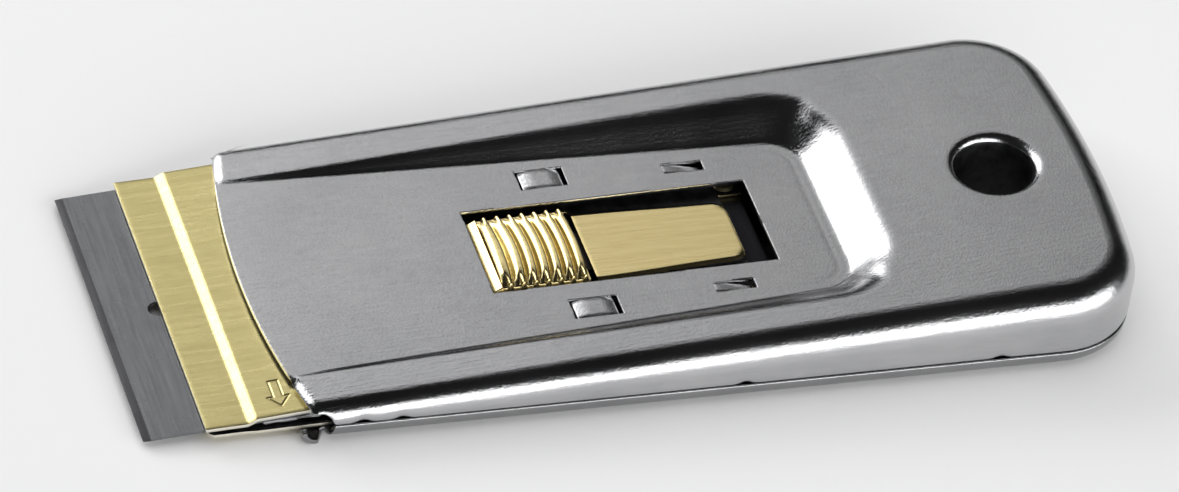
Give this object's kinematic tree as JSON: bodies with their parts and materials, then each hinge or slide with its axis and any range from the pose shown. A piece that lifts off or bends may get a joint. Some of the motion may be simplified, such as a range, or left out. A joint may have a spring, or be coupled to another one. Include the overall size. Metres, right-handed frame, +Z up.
{
  "type": "retractable blade scraper",
  "caption": "Retractable single-edge razor blade scraper: wedge-shaped stamped metal case, sliding brass-coloured blade carrier and ribbed thumb slide, with a hang hole in the butt.",
  "frame": {"origin": "middle of the length and width, level with the lowest point, which is the bead under the mouth", "axes": "+X from the cutting edge to the butt, +Y across the case, +Z up from the flat underside to the thumb slide"},
  "size_m": [0.1098, 0.045, 0.0104],
  "materials": {
    "nickel_plate": "nickel plated, satin with polished bends",
    "brass_sheet": "fine brushed along the length",
    "brass_bright": "pressed ribs, worn bright",
    "rivet_metal": "plain",
    "blade_steel": "ground, with a honed edge",
    "spine_steel": "bright rolled strip",
    "spring_steel": "oiled strip"
  },
  "bodies": {
    "case": {"top_shell": "nickel_plate", "bottom_shell": "nickel_plate"},
    "carrier": {"upper_leaf": "brass_sheet", "lower_leaf": "brass_sheet", "leaf_rivets": "rivet_metal", "blade": "blade_steel", "blade_spine": "spine_steel", "spring_rivets": "rivet_metal"},
    "thumb": {"thumb_slide": "brass_bright", "thumb_spring": "spring_steel"}
  },
  "joints": [
    {"name": "carrier_slide", "type": "slide", "parent": "case", "child": "carrier", "axis": [0.9998, 0, 0.0175], "range_m": [0, 0.0198]},
    {"name": "thumb_press", "type": "hinge", "parent": "carrier", "child": "thumb", "pos_m": [0.01541, 0, 0.00317], "axis": [0, -1, 0], "range_deg": [0, 1.45], "stiffness_Nm_per_rad": 2}
  ]
}
